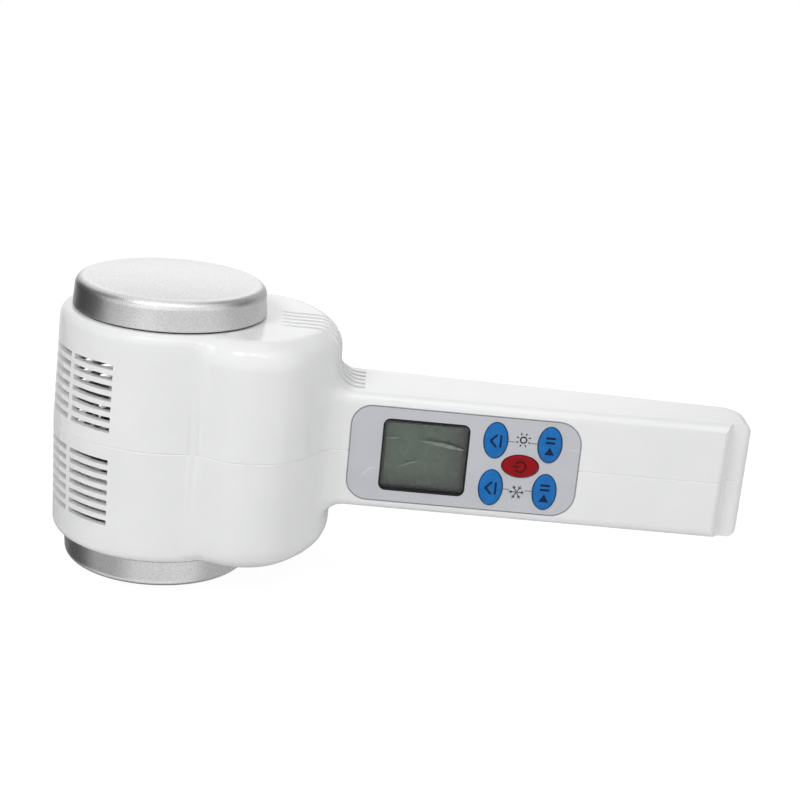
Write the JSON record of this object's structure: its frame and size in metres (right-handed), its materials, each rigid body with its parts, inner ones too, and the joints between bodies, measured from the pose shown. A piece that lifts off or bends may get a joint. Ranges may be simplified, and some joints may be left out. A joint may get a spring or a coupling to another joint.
{
  "type": "hot cold therapy machine",
  "caption": "Hand-held hot and cold therapy machine: a louvred head between a warm and a cold metal plate, with a straight handle that carries a display, keys and a power inlet.",
  "frame": {"origin": "middle of the whole machine, on the plane where the two casing halves meet", "axes": "+X along the handle towards the power inlet, +Z out of the warm plate, -Y out of the key panel"},
  "size_m": [0.2178, 0.0732, 0.0948],
  "materials": {
    "casing_abs": "glossy moulded white",
    "plate_aluminium": "fine satin",
    "fin_aluminium": "extruded",
    "gasket_silicone": "matte",
    "label_film": "printed silver grey film",
    "key_blue": "satin moulded",
    "key_red": "satin moulded",
    "lens_clear": "polished, smoked",
    "display_glass": "grey green with polariser",
    "black_plastic": "moulded, matt",
    "nylon": "natural",
    "screw_steel": "zinc plated",
    "steel": "ground",
    "bronze": "sintered",
    "magnet_rubber": "bonded ferrite",
    "copper_coils": "enamelled wire",
    "heater_alloy": "satin",
    "felt": "pressed felt",
    "foam": "closed cell foam",
    "ceramic_white": "fired alumina",
    "pellet_alloy": "sawn",
    "board_green": "solder mask",
    "component_black": "moulded",
    "capacitor_sleeve": "shrunk sleeve",
    "ferrite": "sintered",
    "connector_nylon": "natural",
    "lead_white": "silicone sleeve",
    "lead_red": "pvc sleeve",
    "ribbon_grey": "pvc ribbon",
    "sensor_epoxy": "dipped bead"
  },
  "bodies": {
    "casing": {"board_connectors": "connector_nylon", "buzzer": "component_black", "casing_screws": "screw_steel", "cold_clamp_screws": "screw_steel", "cold_foam_collar": "foam", "cold_plate": "plate_aluminium", "cold_screw_bushings": "nylon", "cold_sensor": "sensor_epoxy", "control_board": "board_green", "control_chip": "component_black", "control_screws": "screw_steel", "dc_jack": "black_plastic", "dc_jack_pin": "steel", "display_ribbon": "ribbon_grey", "driver_board": "board_green", "driver_capacitors": "capacitor_sleeve", "driver_inductor": "ferrite", "driver_transistors": "component_black", "fan_bearing": "bronze", "fan_frame": "black_plastic", "fan_leads": "lead_red", "fan_screws": "screw_steel", "fan_stator": "copper_coils", "heater_disc": "heater_alloy", "heater_felt": "felt", "heater_leads": "lead_white", "heatsink": "fin_aluminium", "lcd_frame": "black_plastic", "lcd_front_glass": "display_glass", "lcd_lens": "lens_clear", "lcd_rear_glass": "display_glass", "lower_shell": "casing_abs", "panel_label": "label_film", "plate_gaskets": "gasket_silicone", "supply_leads": "lead_red", "switch_bodies": "component_black", "tec_ceramics": "ceramic_white", "tec_leads": "lead_white", "tec_pellets": "pellet_alloy", "thermal_cutout": "component_black", "upper_shell": "casing_abs", "warm_clamp": "nylon", "warm_clamp_screws": "screw_steel", "warm_plate": "plate_aluminium", "warm_sensor": "sensor_epoxy", "zebra_strips": "magnet_rubber"},
    "warm_set_button": {"key_warm_set": "key_blue", "plunger_warm_set": "component_black"},
    "warm_start_button": {"key_warm_start": "key_blue", "plunger_warm_start": "component_black"},
    "hold_button": {"key_hold": "key_red", "plunger_hold": "component_black"},
    "cool_set_button": {"key_cool_set": "key_blue", "plunger_cool_set": "component_black"},
    "cool_start_button": {"key_cool_start": "key_blue", "plunger_cool_start": "component_black"},
    "fan": {"fan_rotor": "black_plastic", "fan_magnet": "magnet_rubber", "fan_shaft": "steel"}
  },
  "joints": [
    {"name": "warm_set_press", "type": "slide", "parent": "casing", "child": "warm_set_button", "axis": [0, 1, 0], "range_m": [0, 0.0004], "stiffness_N_per_m": 1500, "springref_m": -0.0002},
    {"name": "warm_start_press", "type": "slide", "parent": "casing", "child": "warm_start_button", "axis": [0, 1, 0], "range_m": [0, 0.0004], "stiffness_N_per_m": 1500, "springref_m": -0.0002},
    {"name": "hold_press", "type": "slide", "parent": "casing", "child": "hold_button", "axis": [0, 1, 0], "range_m": [0, 0.0004], "stiffness_N_per_m": 1500, "springref_m": -0.0002},
    {"name": "cool_set_press", "type": "slide", "parent": "casing", "child": "cool_set_button", "axis": [0, 1, 0], "range_m": [0, 0.0004], "stiffness_N_per_m": 1500, "springref_m": -0.0002},
    {"name": "cool_start_press", "type": "slide", "parent": "casing", "child": "cool_start_button", "axis": [0, 1, 0], "range_m": [0, 0.0004], "stiffness_N_per_m": 1500, "springref_m": -0.0002},
    {"name": "fan_spin", "type": "hinge", "parent": "casing", "child": "fan", "pos_m": [-0.07455, 0, 0], "axis": [0, 0, 1], "continuous": true}
  ]
}
